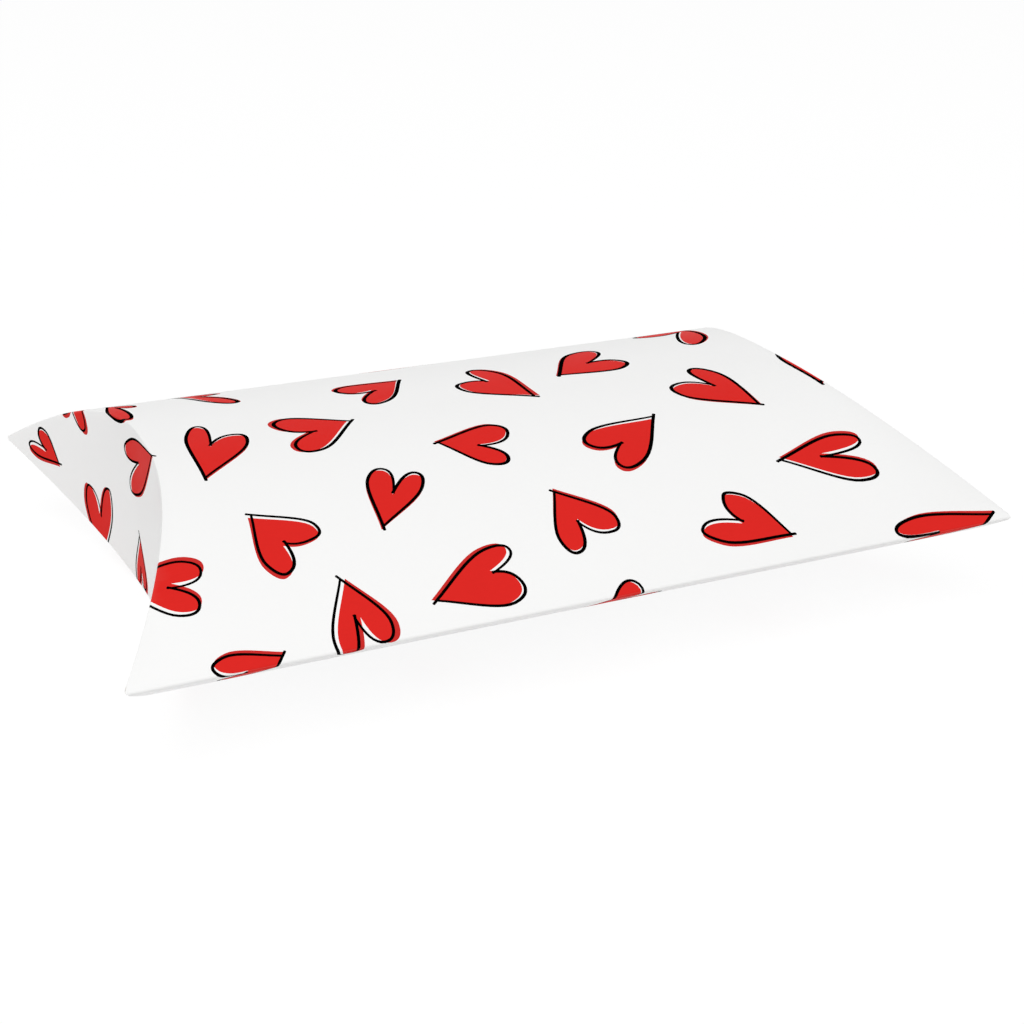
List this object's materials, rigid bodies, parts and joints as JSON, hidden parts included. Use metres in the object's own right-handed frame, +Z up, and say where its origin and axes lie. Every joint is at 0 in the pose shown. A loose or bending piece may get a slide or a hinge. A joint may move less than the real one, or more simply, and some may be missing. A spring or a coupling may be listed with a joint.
{
  "type": "pillow box",
  "caption": "Gift box folded from one sheet of board: two bowed panels, bowed in at both ends, each end shut by an outer and an inner hinged flap.",
  "frame": {"origin": "on the table under the middle of the box, halfway along it and halfway across it", "axes": "+X along the long folds to the right, +Y from the unbroken near fold to the glued far fold, +Z up through the two crowns"},
  "size_m": [0.1608, 0.1128, 0.034],
  "materials": {
    "printed_board": "satin",
    "plain_board": "matte",
    "adhesive": "satin"
  },
  "bodies": {
    "sleeve": {"top_panel": "printed_board", "bottom_panel": "printed_board", "glue_flap": "plain_board", "glue_line": "adhesive"},
    "left_outer": {"left_outer_flap": "printed_board"},
    "left_inner": {"left_inner_flap": "printed_board"},
    "right_outer": {"right_outer_flap": "printed_board"},
    "right_inner": {"right_inner_flap": "printed_board"}
  },
  "joints": [
    {"name": "left_outer_crease", "type": "hinge", "parent": "sleeve", "child": "left_outer", "pos_m": [-0.064, 0, 0.034], "axis": [0, 1, 0], "range_deg": [0, 90]},
    {"name": "left_inner_crease", "type": "hinge", "parent": "sleeve", "child": "left_inner", "pos_m": [-0.06345, 0, 0], "axis": [0, -1, 0], "range_deg": [0, 90], "deforming": ["left_inner_flap"]},
    {"name": "right_outer_crease", "type": "hinge", "parent": "sleeve", "child": "right_outer", "pos_m": [0.064, 0, 0.034], "axis": [0, -1, 0], "range_deg": [0, 90]},
    {"name": "right_inner_crease", "type": "hinge", "parent": "sleeve", "child": "right_inner", "pos_m": [0.06345, 0, 0], "axis": [0, 1, 0], "range_deg": [0, 90], "deforming": ["right_inner_flap"]}
  ]
}
